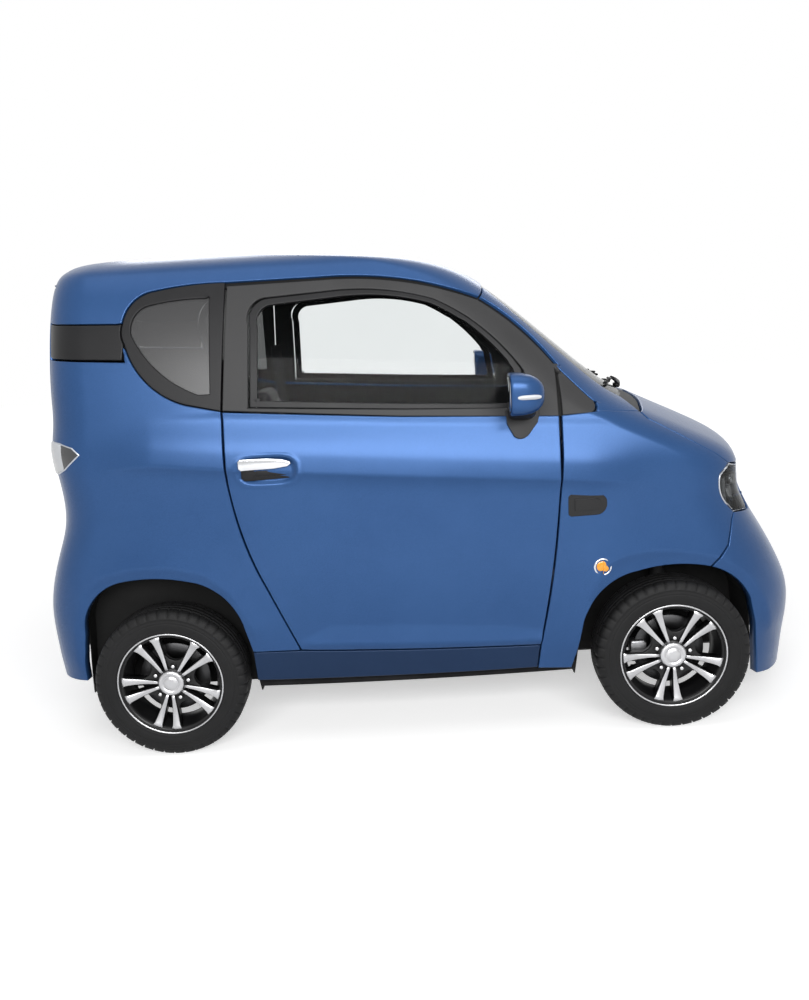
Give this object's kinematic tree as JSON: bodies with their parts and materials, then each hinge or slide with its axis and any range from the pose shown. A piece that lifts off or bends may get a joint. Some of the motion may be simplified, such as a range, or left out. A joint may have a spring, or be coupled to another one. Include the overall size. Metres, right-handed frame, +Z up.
{
  "type": "electric microcar",
  "caption": "Short two-seat electric city car with opening doors, bonnet and tailgate, steered front wheels and alloy rims.",
  "frame": {"origin": "on the ground, below the middle of the body", "axes": "+X to the car's front, +Y to its left, +Z up"},
  "size_m": [2.6476, 1.6, 1.647],
  "materials": {
    "blue_paint": "satin",
    "dark_trim": "satin",
    "window_glass": "gloss",
    "lamp_lens": "gloss",
    "gloss_black": "gloss",
    "bright_trim": "polished",
    "black_plastic": "matte",
    "floor_metal": "matte",
    "battery_case": "matte",
    "seat_fabric": "matte",
    "chassis_steel": "satin",
    "tyre_rubber": "matte",
    "alloy": "satin"
  },
  "bodies": {
    "car_body": {"floor_pan": "floor_metal", "battery_block": "battery_case", "roof_panel": "blue_paint", "windscreen_pillars": "blue_paint", "rear_quarters": "blue_paint", "front_fenders": "blue_paint", "sill_panels": "blue_paint", "front_bumper": "blue_paint", "rear_bumper": "blue_paint", "front_grille": "black_plastic", "cowl_panel": "black_plastic", "windscreen": "window_glass", "quarter_windows": "window_glass", "quarter_trims": "dark_trim", "headlamps": "lamp_lens", "tail_lamps": "lamp_lens", "side_lamps": "lamp_lens", "charge_port_cover": "gloss_black", "front_arch_liners": "black_plastic", "rear_arch_liners": "black_plastic", "dashboard": "black_plastic", "seat_cushions": "seat_fabric", "seat_backs": "seat_fabric", "front_suspension": "chassis_steel", "rear_axle": "chassis_steel", "drive_motor": "battery_case", "steering_column": "black_plastic"},
    "door_right": {"door_panel_right": "blue_paint", "door_frame_right": "dark_trim", "door_glass_right": "window_glass", "door_handle_right": "bright_trim", "door_mirror_right": "blue_paint"},
    "door_left": {"door_panel_left": "blue_paint", "door_frame_left": "dark_trim", "door_glass_left": "window_glass", "door_handle_left": "bright_trim", "door_mirror_left": "blue_paint"},
    "tailgate": {"tailgate_panel": "blue_paint", "tailgate_glass": "window_glass"},
    "bonnet": {"bonnet_panel": "blue_paint"},
    "knuckle_right": {"knuckle_right": "chassis_steel"},
    "knuckle_left": {"knuckle_left": "chassis_steel"},
    "wheel_front_right": {"tyre_front_right": "tyre_rubber", "rim_front_right": "alloy"},
    "wheel_front_left": {"tyre_front_left": "tyre_rubber", "rim_front_left": "alloy"},
    "wheel_rear_right": {"tyre_rear_right": "tyre_rubber", "rim_rear_right": "alloy"},
    "wheel_rear_left": {"tyre_rear_left": "tyre_rubber", "rim_rear_left": "alloy"},
    "steering_wheel": {"steering_wheel": "black_plastic"}
  },
  "joints": [
    {"name": "door_right_hinge", "type": "hinge", "parent": "car_body", "child": "door_right", "pos_m": [0.44194, -0.6535, 0.72], "axis": [0.0687, 0.0321, 0.9971], "range_deg": [0, 62]},
    {"name": "door_left_hinge", "type": "hinge", "parent": "car_body", "child": "door_left", "pos_m": [0.44194, 0.6535, 0.72], "axis": [-0.0687, 0.0321, -0.9971], "range_deg": [0, 62]},
    {"name": "tailgate_hinge", "type": "hinge", "parent": "car_body", "child": "tailgate", "pos_m": [-1.18346, 0, 1.56], "axis": [0, 1, 0], "range_deg": [0, 75]},
    {"name": "bonnet_hinge", "type": "hinge", "parent": "car_body", "child": "bonnet", "pos_m": [0.74054, 0, 1.103], "axis": [0, -1, 0], "range_deg": [0, 55]},
    {"name": "steer_right", "type": "hinge", "parent": "car_body", "child": "knuckle_right", "pos_m": [0.80854, -0.548, 0.254], "axis": [0, 0, 1], "range_deg": [-26, 26]},
    {"name": "steer_left", "type": "hinge", "parent": "car_body", "child": "knuckle_left", "pos_m": [0.80854, 0.548, 0.254], "axis": [0, 0, 1], "range_deg": [-26, 26]},
    {"name": "steering_wheel_turn", "type": "hinge", "parent": "car_body", "child": "steering_wheel", "pos_m": [0.33654, 0.262, 0.85], "axis": [-0.9135, 0, 0.4067], "range_deg": [-390, 390]},
    {"name": "wheel_front_right_spin", "type": "hinge", "parent": "knuckle_right", "child": "wheel_front_right", "pos_m": [0.80854, -0.587, 0.254], "axis": [0, 1, 0], "continuous": true},
    {"name": "wheel_front_left_spin", "type": "hinge", "parent": "knuckle_left", "child": "wheel_front_left", "pos_m": [0.80854, 0.587, 0.254], "axis": [0, 1, 0], "continuous": true},
    {"name": "wheel_rear_right_spin", "type": "hinge", "parent": "car_body", "child": "wheel_rear_right", "pos_m": [-0.85546, -0.587, 0.254], "axis": [0, 1, 0], "continuous": true},
    {"name": "wheel_rear_left_spin", "type": "hinge", "parent": "car_body", "child": "wheel_rear_left", "pos_m": [-0.85546, 0.587, 0.254], "axis": [0, 1, 0], "continuous": true}
  ],
  "couplings": [
    {"joint": "steer_left", "follows": "steer_right", "ratio": 1},
    {"joint": "steering_wheel_turn", "follows": "steer_right", "ratio": 15}
  ]
}
